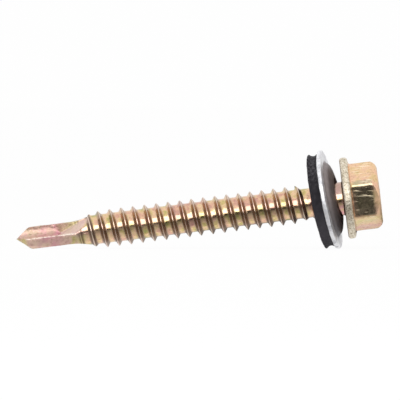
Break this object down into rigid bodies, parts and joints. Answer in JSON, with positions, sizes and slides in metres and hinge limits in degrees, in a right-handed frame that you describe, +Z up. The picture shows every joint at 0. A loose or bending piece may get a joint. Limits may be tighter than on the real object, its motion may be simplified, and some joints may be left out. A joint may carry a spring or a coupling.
{
  "type": "self drilling screw",
  "caption": "Hexagon washer-head self drilling screw with a forged drill point, a right-hand thread and a loose domed washer with a bonded rubber seal.",
  "frame": {"origin": "on the floor under the middle of the part as it lies, so Z = 0 is the surface it lies on", "axes": "+X along the screw towards its head, level; +Z up; the screw rises about 7 degrees towards the head, because the washer props it up"},
  "size_m": [0.0566, 0.0154, 0.0152],
  "materials": {
    "zinc_steel": "yellow zinc plating with pink and olive tints, bright and slightly rough",
    "washer_steel": "galvanised, bright with fine streaks",
    "seal_rubber": "matt black, cut edge"
  },
  "bodies": {
    "fastener": {"screw": "zinc_steel"},
    "washer": {"metal_washer": "washer_steel", "rubber_seal": "seal_rubber"}
  },
  "joints": [
    {"name": "washer_spin", "type": "hinge", "parent": "fastener", "child": "washer", "pos_m": [0.01961, 0.00003, 0.00753], "axis": [0.9741, -0.1132, 0.1955], "continuous": true}
  ]
}
